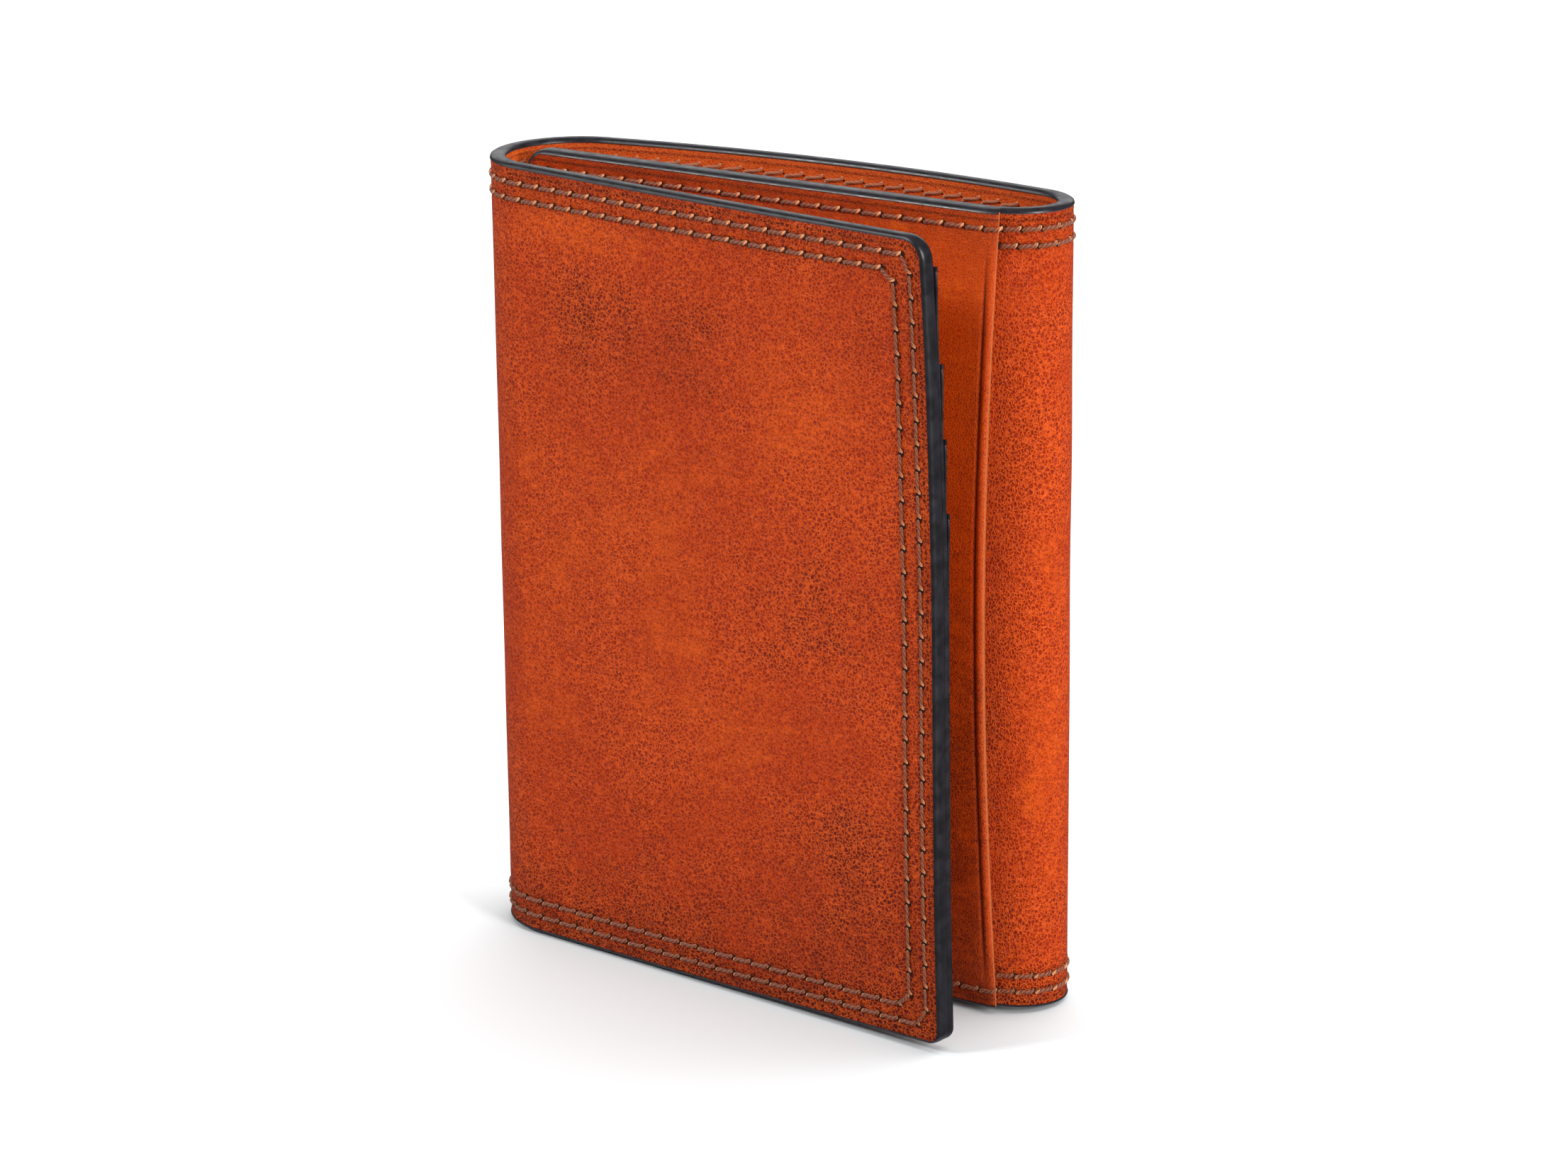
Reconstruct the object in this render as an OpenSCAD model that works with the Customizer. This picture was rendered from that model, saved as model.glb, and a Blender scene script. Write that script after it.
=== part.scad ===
// Leather trifold wallet, standing on its long edge and part closed.
// One long cover wraps the front flap, the left fold, the back panel, the right fold
// and the inner flap. Each fold is a chain of short strips hinged on the outer leather
// surface, so that the wallet can be opened flat. Millimetres, +Z up, +X to the right
// along the back panel, +Y away from the front flap.

/* [Panels] */
// Height of the wallet
wallet_h = 108; // [95:1:120]
// Length of the back panel along its outer surface
back_len = 69; // [64:1:74]
// Total bow of the back panel in degrees
back_bow = 20; // [10:1:24]
// Length of the front flap
front_len = 71.5; // [66:0.5:72]
// Length of the inner flap
inner_len = 72; // [66:0.5:72.5]
// Corner radius of both flaps
corner_r = 3; // [2:0.5:5]

/* [Folds] */
// Outer radius of the left fold
left_r = 11.25; // [11:0.05:12.5]
// Turn of the left fold in degrees
left_turn = 161; // [155:1:164]
// Outer radius of the right fold
right_r = 8.8; // [8.5:0.05:9.5]
// Turn of the right fold in degrees
right_turn = 174; // [171:1:176]
// Hinged strips in the left fold
left_strips = 4; // [4:1:4]
// Hinged strips in the right fold
right_strips = 2; // [2:1:2]
// Slit between neighbouring strips at a hinge
slit = 0.3; // [0.2:0.05:0.5]

/* [Leather] */
// Thickness of the outer cover
cover_t = 1.2; // [1:0.1:1.4]
// Thickness of the lining
lining_t = 0.8; // [0.6:0.1:0.9]
// Thickness of the card panels and card slots
leaf_t = 0.3; // [0.3:0.1:0.6]
// Thickness of the overlay pocket on the inner flap
overlay_t = 0.9; // [0.6:0.1:1]

/* [Pockets] */
// Drop of the card panels' top edge below the cover's top
panel_drop = 4; // [3:0.5:6]
// Drop of the first slot mouth below the cover's top
mouth_drop = 16.7; // [14:0.1:20]
// Step from one slot mouth to the next
mouth_step = 9.85; // [8:0.05:12]
// Gap between the right fold and the overlay pocket
overlay_gap = 0.5; // [0.3:0.1:3]
// Bow of the overlay pocket's mouth
overlay_bow = 2.4; // [0:0.1:4]

/* [Stitching] */
// Distance from one stitch to the next
pitch = 3.175; // [2.5:0.005:4]
// Distance of the outer stitch row from the edge
row_1 = 2.5; // [2:0.1:4]
// Distance of the second stitch row from the edge
row_2 = 4.8; // [4.2:0.1:7]
// Slant of each stitch in degrees
slant = 14; // [0:1:30]

/* [Hidden] */

cover_colour = "#a8481c";
lining_colour = "#c4601f";
panel_colour = "#b5551d";
thread_colour = "#d9a066";

// Lengths are measured on the outer surface, depths from it towards the inside.
arc_fn = 96;
stitch_l = 2.3;
stitch_w = 0.6;
thread_t = 0.3;
end_clear = 3;      // card panels stop this far from a fold
corner_steps = 8;

lining_end = cover_t + lining_t;
panel_end = lining_end + leaf_t;

// Headings turn clockwise seen from above. A heading's outer normal points to the
// outside of the wallet.
function heading(a) = [cos(a), -sin(a)];
function normal(a) = [sin(a), cos(a)];

back_r = back_len / (back_bow * PI / 180);
back_c = [0, -back_r];
half_bow = back_bow / 2;
back_end = back_len / 2 - slit / 2;
left_c = back_c + (back_r - left_r) * normal(-half_bow);
right_c = back_c + (back_r - right_r) * normal(half_bow);
front_a = -(half_bow + left_turn);
inner_a = half_bow + right_turn;
front_start = left_c + left_r * normal(front_a);
inner_start = right_c + right_r * normal(inner_a);
front_end = front_start - front_len * heading(front_a);

// The origin is the centre of the wallet's footprint.
origin = [
    (left_c[0] - left_r + right_c[0] + right_r) / 2,
    (thread_t + front_end[1]) / 2
];

module in_frame() {
    translate([-origin[0], -origin[1], 0]) children();
}

// A layer of a bent stretch: a sector of a ring about centre c, from heading a0 to a1.
module bent_layer(c, r, a0, a1, d0, d1, z0, z1) {
    in_frame() translate([c[0], c[1], z0])
        rotate([0, 0, 90 - a1])
            rotate_extrude(angle = a1 - a0, $fn = arc_fn)
                translate([r - d1, 0]) square([d1 - d0, z1 - z0]);
}

// A layer of the back panel, from s0 to s1 along its outer surface.
module back_layer(s0, s1, d0, d1, z0, z1) {
    bent_layer(back_c, back_r, s0 / back_r * 180 / PI, s1 / back_r * 180 / PI, d0, d1, z0, z1);
}

// Strip i of a fold, counted from the back panel. side is 1 on the right, -1 on the left.
module fold_layer(side, i, d0, d1) {
    c = side > 0 ? right_c : left_c;
    r = side > 0 ? right_r : left_r;
    turn = side > 0 ? right_turn / right_strips : left_turn / left_strips;
    trim = slit / 2 / r * 180 / PI;
    near = half_bow + turn * (i - 1) + trim;
    far = half_bow + turn * i - trim;
    bent_layer(c, r, side > 0 ? near : -far, side > 0 ? far : -near, d0, d1, 0, wallet_h);
}

// The flap's own frame: +X from the fold to the free edge, -Y into the wallet.
module front_frame() {
    in_frame() translate([front_start[0], front_start[1], 0])
        rotate([0, 0, -front_a]) mirror([1, 0, 0]) children();
}

module inner_frame() {
    in_frame() translate([inner_start[0], inner_start[1], 0]) rotate([0, 0, -inner_a]) children();
}

function corner(cx, cz, r, from) =
    [for (i = [0 : corner_steps]) let (a = from + 90 * i / corner_steps) [cx + r * cos(a), cz + r * sin(a)]];

// A flat leaf in a flap's frame from x0 to x1 and z0 to z1, rounded at the free corners
// that r_low and r_high name.
module leaf(x0, x1, z0, z1, d0, d1, r_low, r_high) {
    outline = concat(
        [[x0, z0]],
        r_low > 0 ? corner(x1 - r_low, z0 + r_low, r_low, -90) : [[x1, z0]],
        r_high > 0 ? corner(x1 - r_high, z1 - r_high, r_high, 0) : [[x1, z1]],
        [[x0, z1]]
    );
    translate([0, -d0, 0]) rotate([90, 0, 0]) linear_extrude(d1 - d0) polygon(outline);
}

// The stack of card slots: leaf i has its mouth a step lower than leaf i - 1.
function slot_top(i) = wallet_h - mouth_drop - (i - 1) * mouth_step;
function slot_depth(i) = panel_end + (i - 1) * leaf_t;

module flap_slot(i, len) {
    leaf(end_clear, len, 0, slot_top(i), slot_depth(i), slot_depth(i) + leaf_t, corner_r, 0);
}

module flap_panel(len) {
    leaf(end_clear, len, 0, wallet_h - panel_drop, lining_end, panel_end, corner_r, 0);
}

// One raised stitch lying on the surface, tilted by turn in the surface.
module stitch(turn) {
    rotate([90, 0, 0]) rotate([0, 0, turn])
        translate([-stitch_l / 2, -stitch_w / 2, -thread_t]) cube([stitch_l, stitch_w, thread_t]);
}

// A row of stitches along a flap's top or bottom edge, from x0 to x1.
module flap_row(x0, x1, z) {
    count = floor((x1 - x0) / pitch);
    for (i = [0 : count - 1]) translate([x1 - (i + 0.5) * pitch, 0, z]) stitch(slant);
}

// A row of stitches along a flap's free edge, centred on the height.
module edge_row(x, z0, z1) {
    count = floor((z1 - z0) / pitch);
    start = (z0 + z1 - count * pitch) / 2;
    for (i = [0 : count - 1]) translate([x, 0, start + (i + 0.5) * pitch]) stitch(90 + slant);
}

// A row of stitches along the back panel at height z.
module back_row(z) {
    count = floor(back_len / pitch);
    for (i = [0 : count - 1]) {
        a = ((i + 0.5) * pitch - count * pitch / 2) / back_r * 180 / PI;
        in_frame() translate([back_c[0], back_c[1], z]) rotate([0, 0, -a])
            translate([0, back_r, 0]) stitch(slant);
    }
}

// Card slots on the back panel and the two flaps: each leaf lies on the one before.
module back_slot(i) {
    color(panel_colour)
        back_layer(end_clear - back_len / 2, back_len / 2 - end_clear,
            slot_depth(i), slot_depth(i) + leaf_t, 0, slot_top(i));
}

module back_cover() {
    color(cover_colour) back_layer(-back_end, back_end, 0, cover_t, 0, wallet_h);
}

module back_lining() {
    color(lining_colour) back_layer(-back_end, back_end, cover_t, lining_end, 0, wallet_h);
}

module back_panel() {
    color(panel_colour)
        back_layer(end_clear - back_len / 2, back_len / 2 - end_clear,
            lining_end, panel_end, 0, wallet_h - panel_drop);
}

module back_thread() {
    color(thread_colour)
        for (d = [row_1, row_2]) {
            back_row(d);
            back_row(wallet_h - d);
        }
}

module left_cover(i) {
    color(cover_colour) fold_layer(-1, i, 0, cover_t);
}

module left_lining(i) {
    color(lining_colour) fold_layer(-1, i, cover_t, lining_end);
}

module right_cover(i) {
    color(cover_colour) fold_layer(1, i, 0, cover_t);
}

module right_lining(i) {
    color(lining_colour) fold_layer(1, i, cover_t, lining_end);
}

// Flaps start half a slit past the end of their fold.
module front_cover() {
    color(cover_colour) front_frame() leaf(slit / 2, front_len, 0, wallet_h, 0, cover_t, corner_r, corner_r);
}

module front_lining() {
    color(lining_colour)
        front_frame() leaf(slit / 2, front_len, 0, wallet_h, cover_t, lining_end, corner_r, corner_r);
}

module front_panel() {
    color(panel_colour) front_frame() flap_panel(front_len);
}

module front_slot(i) {
    color(panel_colour) front_frame() flap_slot(i, front_len);
}

module front_thread() {
    color(thread_colour) front_frame()
        for (d = [row_1, row_2]) {
            flap_row(0, front_len - d, d);
            flap_row(0, front_len - d, wallet_h - d);
            edge_row(front_len - d, d, wallet_h - d);
        }
}

module inner_cover() {
    color(cover_colour) inner_frame() leaf(slit / 2, inner_len, 0, wallet_h, 0, cover_t, corner_r, corner_r);
}

module inner_lining() {
    color(lining_colour)
        inner_frame() leaf(slit / 2, inner_len, 0, wallet_h, cover_t, lining_end, corner_r, corner_r);
}

// The overlay pocket lies on the outside of the inner flap. Its open edge faces the
// right fold and bows away from it.
module inner_overlay() {
    steps = 12;
    mouth = [for (i = [steps : -1 : 0])
        [overlay_gap + overlay_bow * sin(180 * i / steps), wallet_h * i / steps]];
    outline = concat(
        corner(inner_len - corner_r, corner_r, corner_r, -90),
        corner(inner_len - corner_r, wallet_h - corner_r, corner_r, 0),
        mouth
    );
    color(lining_colour) inner_frame()
        translate([0, overlay_t, 0]) rotate([90, 0, 0]) linear_extrude(overlay_t) polygon(outline);
}

module inner_panel() {
    color(panel_colour) inner_frame() flap_panel(inner_len);
}

module inner_slot(i) {
    color(panel_colour) inner_frame() flap_slot(i, inner_len);
}

module inner_thread() {
    color(thread_colour) inner_frame() translate([0, overlay_t, 0]) {
        for (z = [row_1, wallet_h - row_1]) flap_row(overlay_gap + 1, inner_len - row_1, z);
        edge_row(inner_len - row_1, row_1, wallet_h - row_1);
    }
}

back_cover();
back_lining();
back_panel();
back_slot(1);  // back_slot_1
back_slot(2);  // back_slot_2
back_slot(3);  // back_slot_3
back_thread();
left_cover(1);  // left_cover_1
left_cover(2);  // left_cover_2
left_cover(3);  // left_cover_3
left_cover(4);  // left_cover_4
left_lining(1);  // left_lining_1
left_lining(2);  // left_lining_2
left_lining(3);  // left_lining_3
left_lining(4);  // left_lining_4
front_cover();
front_lining();
front_panel();
front_slot(1);  // front_slot_1
front_slot(2);  // front_slot_2
front_slot(3);  // front_slot_3
front_thread();
right_cover(1);  // right_cover_1
right_cover(2);  // right_cover_2
right_lining(1);  // right_lining_1
right_lining(2);  // right_lining_2
inner_cover();
inner_lining();
inner_overlay();
inner_panel();
inner_slot(1);  // inner_slot_1
inner_slot(2);  // inner_slot_2
inner_thread();
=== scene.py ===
"""A leather trifold wallet, standing part closed: its looks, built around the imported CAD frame.

Everything is drawn in hide coordinates and then bent onto the wallet's plan. s runs along
the outer surface of the cover in millimetres, 0 at the middle of the back panel, positive
to the right fold and inner flap and negative to the left fold and front flap. z is the
height, and depth is measured from the cover's outer surface into the wallet.
"""
import math
import bmesh
import bpy
import numpy as np
from mathutils import Matrix, Vector


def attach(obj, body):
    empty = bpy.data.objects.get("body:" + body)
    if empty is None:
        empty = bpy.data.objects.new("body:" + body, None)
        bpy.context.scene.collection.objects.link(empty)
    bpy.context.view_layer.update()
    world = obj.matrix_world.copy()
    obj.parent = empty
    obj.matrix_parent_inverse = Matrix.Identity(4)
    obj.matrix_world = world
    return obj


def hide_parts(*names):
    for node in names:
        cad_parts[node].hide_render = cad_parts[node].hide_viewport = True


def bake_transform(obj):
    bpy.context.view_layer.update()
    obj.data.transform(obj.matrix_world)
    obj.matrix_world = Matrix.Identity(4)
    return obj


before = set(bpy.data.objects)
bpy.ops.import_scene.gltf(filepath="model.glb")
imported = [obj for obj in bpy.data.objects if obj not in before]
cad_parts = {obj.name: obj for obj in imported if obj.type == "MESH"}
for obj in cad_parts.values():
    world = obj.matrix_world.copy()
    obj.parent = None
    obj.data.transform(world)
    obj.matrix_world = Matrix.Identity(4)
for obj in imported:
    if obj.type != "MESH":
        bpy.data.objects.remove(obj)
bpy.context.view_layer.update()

MM = 0.001

# ---------------------------------------------------------------- driving dimensions, mm
HEIGHT = 108.0
BACK_LEN, BACK_BOW = 69.0, math.radians(20)
FRONT_LEN, INNER_LEN = 71.5, 72.0
LEFT_R, LEFT_TURN = 11.25, math.radians(161)
RIGHT_R, RIGHT_TURN = 8.8, math.radians(174)
LEFT_STRIPS, RIGHT_STRIPS = 4, 2
FLAP_TWIST = math.radians(1.7)      # the front flap's top stands this much further open than its middle
COVER_T, LINING_T, LEAF_T = 1.2, 0.8, 0.22
OVERLAY_T, OVERLAY_BOW = 0.9, 2.65
OVERLAY_LAP = 4.4                   # the overlay's open edge reaches this far onto the fold
LEAF_DROPS = [4.0, 16.7, 26.55, 36.4]   # card panel and slot mouths below the top
LEAF_CLEAR = 3.0
THREAD_PROUD = 0.3
TOP_CORNER, LOW_CORNER = 3.0, 2.0
INNER_LEAVES = 3                    # the inner flap has a card panel and two slots
CORNER_STEPS = 12                   # points round a rounded corner
PITCH, ROW_1, ROW_2 = 3.175, 2.45, 4.65
SIDE_1, SIDE_2 = 2.2, 4.9           # the same rows' distance from the flaps' free edges
CREASE_IN = 1.25                    # a creased line runs this far in from the cut edges
BODY_T = COVER_T + LINING_T

# ---------------------------------------------------------------- the wallet's plan


def heading(a):
    """Unit vector along the hide, in the plan, where it has turned by a."""
    return np.stack([np.cos(a), -np.sin(a)], -1)


def normal(a):
    """Unit vector out of the hide, in the plan, where it has turned by a."""
    return np.stack([np.sin(a), np.cos(a)], -1)


HALF = BACK_LEN / 2
HALF_BOW = BACK_BOW / 2
BACK_R = BACK_LEN / BACK_BOW
LEFT_ARC = LEFT_R * LEFT_TURN
RIGHT_ARC = RIGHT_R * RIGHT_TURN
FRONT_END = -(HALF + LEFT_ARC + FRONT_LEN)
INNER_END = HALF + RIGHT_ARC + INNER_LEN
FRONT_FOLD = -(HALF + LEFT_ARC)     # where the front flap meets its fold
INNER_FOLD = HALF + RIGHT_ARC


def side_path(u, turn, arc, side):
    """Plan point and heading at a distance u beyond the back panel's end."""
    a0 = np.full_like(u, side * HALF_BOW)
    start = np.array([0.0, -BACK_R]) + BACK_R * normal(a0)
    radius = arc / turn
    centre = start - radius[..., None] * normal(a0)
    a = a0 + side * np.clip(u, 0, arc) / radius
    beyond = np.clip(u - arc, 0, None)[..., None]
    return centre + radius[..., None] * normal(a) + side * beyond * heading(a), a


def plan(s, z):
    """Plan point and heading on the outer surface."""
    s, z = np.broadcast_arrays(np.asarray(s, float), np.asarray(z, float))
    a_back = s / BACK_R
    p_back = np.array([0.0, -BACK_R]) + BACK_R * normal(a_back)
    left_turn = LEFT_TURN + FLAP_TWIST * (1 - 2 * z / HEIGHT)
    p_left, a_left = side_path(-s - HALF, left_turn, LEFT_ARC, -1)
    p_right, a_right = side_path(s - HALF, np.full_like(s, RIGHT_TURN), RIGHT_ARC, 1)
    left, right = (s < -HALF), (s > HALF)
    p = np.where(left[..., None], p_left, np.where(right[..., None], p_right, p_back))
    a = np.where(left, a_left, np.where(right, a_right, a_back))
    return p, a


def footprint_centre():
    """The row's origin in the plan: the middle of the CAD solids' footprint."""
    n_left, n_right = normal(np.array(-HALF_BOW)), normal(np.array(HALF_BOW))
    left_c = np.array([0.0, -BACK_R]) + (BACK_R - LEFT_R) * n_left
    right_c = np.array([0.0, -BACK_R]) + (BACK_R - RIGHT_R) * n_right
    front_a = np.array(-(HALF_BOW + LEFT_TURN))
    front_tip = left_c + LEFT_R * normal(front_a) - FRONT_LEN * heading(front_a)
    return np.array([(left_c[0] - LEFT_R + right_c[0] + RIGHT_R) / 2,
                     (THREAD_PROUD + front_tip[1]) / 2])


ORIGIN = footprint_centre()

rng = np.random.default_rng(7)
WAVES = [(rng.uniform(0, 2 * math.pi), rng.uniform(0, 2 * math.pi),
          1 / rng.uniform(22, 60)) for _ in range(9)]


def ripple(s, z):
    """Slow unevenness of hand-made leather, about -1 to 1."""
    total = sum(np.sin(2 * math.pi * f * (s * math.cos(t) + z * math.sin(t)) + p)
                for t, p, f in WAVES)
    return total / (len(WAVES) / 2)


def swell(s, z):
    """How far the whole stack stands out of the plan: the pockets pad the flaps."""
    across = np.sin(math.pi * np.clip(z / HEIGHT, 0, 1))
    u_front = np.clip((FRONT_FOLD - s) / FRONT_LEN, 0, 1)
    u_inner = np.clip((s - INNER_FOLD) / INNER_LEN, 0, 1)
    flap = 0.45 * np.sin(math.pi * u_front) + 0.3 * np.sin(math.pi * u_inner)
    return flap * across ** 0.7 + 0.10 * ripple(s, z) * across ** 0.5


def settle(s, z):
    """How far the closed flaps sink below their plan, and how far their low corners lift."""
    u_front = np.clip((FRONT_FOLD - s) / FRONT_LEN, 0, 1)
    u_inner = np.clip((s - INNER_FOLD) / INNER_LEN, 0, 1)
    t = np.clip((s - HALF - 6.5) / (RIGHT_ARC - 6.5), 0, 1)
    ease = t * t * (3 - 2 * t)
    front = (0.5 + 1.05 * np.sin(math.pi * (z - 38) / 86)) * u_front ** 2
    inner = 2.8 * ease - 1.9 * u_inner
    lift = (0.8 * u_front ** 2 + 0.5 * ease) * (1 - z / HEIGHT)
    return front + inner, lift


def place(s, z, depth):
    """Hide coordinates in mm to points in the row frame in metres."""
    s, z, depth = np.broadcast_arrays(*(np.asarray(v, float) for v in (s, z, depth)))
    p, a = plan(s, z)
    sink, lift = settle(s, z)
    xy = p + (swell(s, z) - sink - depth)[..., None] * normal(a) - ORIGIN
    return np.concatenate([xy, (z + lift)[..., None]], -1) * MM


# ---------------------------------------------------------------- bodies and segments

def middles(marks):
    """The points half way between neighbouring marks."""
    return [(a + b) / 2 for a, b in zip(marks, marks[1:])]


LEFT_MARKS = [-(HALF + LEFT_ARC * i / LEFT_STRIPS) for i in range(LEFT_STRIPS + 1)]
RIGHT_MARKS = [HALF + RIGHT_ARC * i / RIGHT_STRIPS for i in range(RIGHT_STRIPS + 1)]
LEFT_MIDS, RIGHT_MIDS = middles(LEFT_MARKS), middles(RIGHT_MARKS)
REACH = LEFT_ARC / LEFT_STRIPS / 2      # how far a bend runs into a panel


def fold_segments(side, mids, near, far, end, flap):
    """The pieces that leather is cut into along one side: each spans one hinge, and lists the bodies on
    both sides and where the bend starts and ends.
    """
    bodies = ["back"] + [f"{side}_strip_{i + 1}" for i in range(len(mids))] + [flap]
    stops = [0.0] + mids + [end]
    bends = [near] + mids + [far]
    names = [f"back_{side}"] + [f"{side}_{i + 1}" for i in range(len(mids) - 1)]
    names.append(flap.split("_")[0])
    return [dict(name=n, lo=min(stops[i], stops[i + 1]), hi=max(stops[i], stops[i + 1]),
                 a=bodies[i], b=bodies[i + 1], start=bends[i], end=bends[i + 1])
            for i, n in enumerate(names)]


SEGMENTS = (
    fold_segments("left", LEFT_MIDS, -HALF + REACH, FRONT_FOLD - REACH, FRONT_END, "front_flap")
    + fold_segments("right", RIGHT_MIDS, HALF - REACH, INNER_FOLD + REACH, INNER_END, "inner_flap"))


def covers_nodes(segment, kind):
    """The CAD nodes that a segment of the cover or lining stands for."""
    side = "left" if segment["lo"] < 0 else "right"
    count = LEFT_STRIPS if side == "left" else RIGHT_STRIPS
    if segment["name"].startswith("back_"):
        return [f"back_{kind}"]
    if segment["name"] in ("front", "inner"):
        return [f"{segment['name']}_{kind}", f"{side}_{kind}_{count}"]
    return [f"{side}_{kind}_{segment['name'].split('_')[1]}"]


def bend(piece):
    """Bake a piece's placement into its mesh."""
    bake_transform(piece)


# ---------------------------------------------------------------- outline of the hide

# Soft clouds in the dye of the front flap, the last a painted highlight along the left fold:
# distance from the fold, height, their reach both ways, and how much lighter (or darker) they are.
CLOUDS = [
    (50, 82, 12, 12, 0.09), (20, 60, 15, 12, 0.08), (30, 36, 15, 11, 0.09),
    (12, 101, 14, 4, 0.14), (12, 88, 9, 9, -0.10), (31, 87, 9, 9, -0.11),
    (53, 56, 12, 8, -0.07), (60, 20, 14, 15, -0.09), (64, 95, 7, 8, -0.06),
    (3, 50, 7, 44, 0.05)]
# painted shade: the low edge is darker all the way along
LOW_SHADE, LOW_REACH = 0.20, 14.0   # the low edge is darker all the way along


def dye_and_painted_light(s, z):
    """How much lighter or darker the hide is than its average: clouds of dye, a painted highlight along
    the left fold and on the lower right fold, and painted shade along the low edge and on the overlay
    beside the front flap.
    """
    u = FRONT_FOLD - s
    tone = sum(a * np.exp(-((u - u0) / ru) ** 2 - ((z - z0) / rz) ** 2)
               for u0, z0, ru, rz, a in CLOUDS)
    # painted light: the lower part of the right fold is lighter
    right = 0.10 * np.exp(-((s - INNER_FOLD + 12) / 9) ** 2) * np.clip(1.1 - z / 90, 0, 1)
    # painted shade: the overlay beside the fold is darker about a third of the way up, where the front
    # flap shades it
    flap_shade_by_height = 0.05 - 0.17 * np.exp(-((z - 35) / 36) ** 2)
    inner = np.exp(-((s - INNER_FOLD - 6) / 11) ** 2) * flap_shade_by_height
    return tone + right + inner - LOW_SHADE * np.exp(-z / LOW_REACH)


def edge_distance(s, z):
    """Distance from the nearest cut edge of the cover."""
    return np.minimum(np.minimum(z, HEIGHT - z), np.minimum(s - FRONT_END, INNER_END - s))


def corner_cut(x, r):
    """How far a rounded corner of radius r cuts in, at a distance x from the side."""
    x = np.clip(x, 0, r)
    return r - np.sqrt(np.maximum(r * r - (r - x) ** 2, 0))


def z_span(s, inset):
    """Lowest and highest z at s, inside the cover's rounded outline by inset."""
    gap = np.minimum(s - FRONT_END, INNER_END - s)
    return inset + corner_cut(gap, LOW_CORNER), HEIGHT - inset - corner_cut(gap, TOP_CORNER)


# ---------------------------------------------------------------- stitch rows

def rounded_loop(inset, side, r, s_lo, s_hi):
    """Points of a stitch row seen from outside, clockwise: top to the right, then down."""
    a, b = s_lo + side, s_hi - side
    lo, hi = inset, HEIGHT - inset
    corners = [((a + r, hi - r), 90), ((a + r, lo + r), 180),
               ((b - r, lo + r), 270), ((b - r, hi - r), 0)]
    pts = []
    for (cx, cz), first in corners:
        t = np.radians(np.linspace(first, first + 90, CORNER_STEPS))
        pts.append(np.stack([cx + r * np.cos(t), cz + r * np.sin(t)], -1))
    return np.concatenate(pts + [pts[0][:1]])


def even_points(path, pitch):
    """Points every pitch along a path, with the pitch rounded to fit."""
    leg = np.linalg.norm(np.diff(path, axis=0), axis=1)
    at = np.concatenate([[0], np.cumsum(leg)])
    count = int(round(at[-1] / pitch))
    t = np.linspace(0, at[-1], count + 1)
    return np.stack([np.interp(t, at, path[:, 0]), np.interp(t, at, path[:, 1])], -1)


def open_u(inset, side, r, s_stop):
    """The second row: from the overlay's edge round the front flap and back."""
    beyond = s_stop + 40        # any end past s_stop will do: only the flap's corners are kept
    flap_corners = rounded_loop(inset, side, r, FRONT_END, beyond)[:2 * CORNER_STEPS]
    first = np.array([[s_stop, HEIGHT - inset]])
    last = np.array([[s_stop, inset]])
    return np.concatenate([first, flap_corners, last])


GROOVE = 1.6        # a creased line this far in from the overlay's open edge


def overlay_edge(z):
    """s of the overlay's open edge."""
    return INNER_FOLD - OVERLAY_LAP + OVERLAY_BOW * np.sin(math.pi * np.asarray(z, float) / HEIGHT)


ROW_A = even_points(rounded_loop(ROW_1, SIDE_1, 1.2, FRONT_END, INNER_END), PITCH)
ROW_B = even_points(open_u(ROW_2, SIDE_2, 0.8, float(overlay_edge(ROW_2)) - 0.2), PITCH)
SLANT_OUT, SLANT_IN = 0.33, 0.55     # how far a stitch's ends step off its row, mm


def stitch_list(points, slant):
    """Where each stitch starts and ends, stepped off the row to slant it, and its row's way."""
    along = np.diff(points, axis=0)
    along /= np.linalg.norm(along, axis=1)[:, None]
    left = np.stack([along[:, 1], -along[:, 0]], -1)   # outside the wallet, s grows to the left
    return points[:-1] - slant * left, points[1:] + slant * left, along


HOLES = np.concatenate([ROW_A, ROW_B])
HOLE_DENT, ROW_DENT = 0.26, 0.07    # how deep the leather is pulled in at a hole and along a row
DENT_REACH = 0.55                   # how far from the hole or the row


def stitch_dent(s, z):
    """How deep the thread pulls the leather in, round the holes and along the rows."""
    dent = np.zeros_like(s)
    edge = edge_distance(s, z)
    near = edge < ROW_2 + 4 * DENT_REACH
    if near.any():
        pts = np.stack([s[near], z[near]], -1)
        deep = np.zeros(len(pts))
        for chunk in np.array_split(np.arange(len(pts)), max(1, len(pts) // 4000)):
            d2 = ((pts[chunk][:, None, :] - HOLES[None]) ** 2).sum(-1).min(1)
            deep[chunk] = HOLE_DENT * np.exp(-d2 / DENT_REACH ** 2)
        dent[near] = deep
    row_b = np.where(s < overlay_edge(z), np.exp(-((edge - ROW_2) / DENT_REACH) ** 2), 0)
    dent += ROW_DENT * (np.exp(-((edge - ROW_1) / DENT_REACH) ** 2) + row_b)
    return dent


def cover_relief(s, z):
    """Depth of the cover's outer surface: rolled edge, creased line and stitch dents."""
    edge = edge_distance(s, z)
    roll = 0.22 * np.clip(1 - edge / 0.9, 0, 1) ** 2
    crease = 0.10 * np.exp(-((edge - CREASE_IN) / 0.16) ** 2)
    return roll + crease + stitch_dent(s, z)


# ---------------------------------------------------------------- mesh building

def set_layer(mesh, name, values):
    """A number per vertex that materials can read."""
    layer = mesh.attributes.new(name, "FLOAT", "POINT")
    layer.data.foreach_set("value", np.asarray(values, np.float32).ravel())


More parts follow.
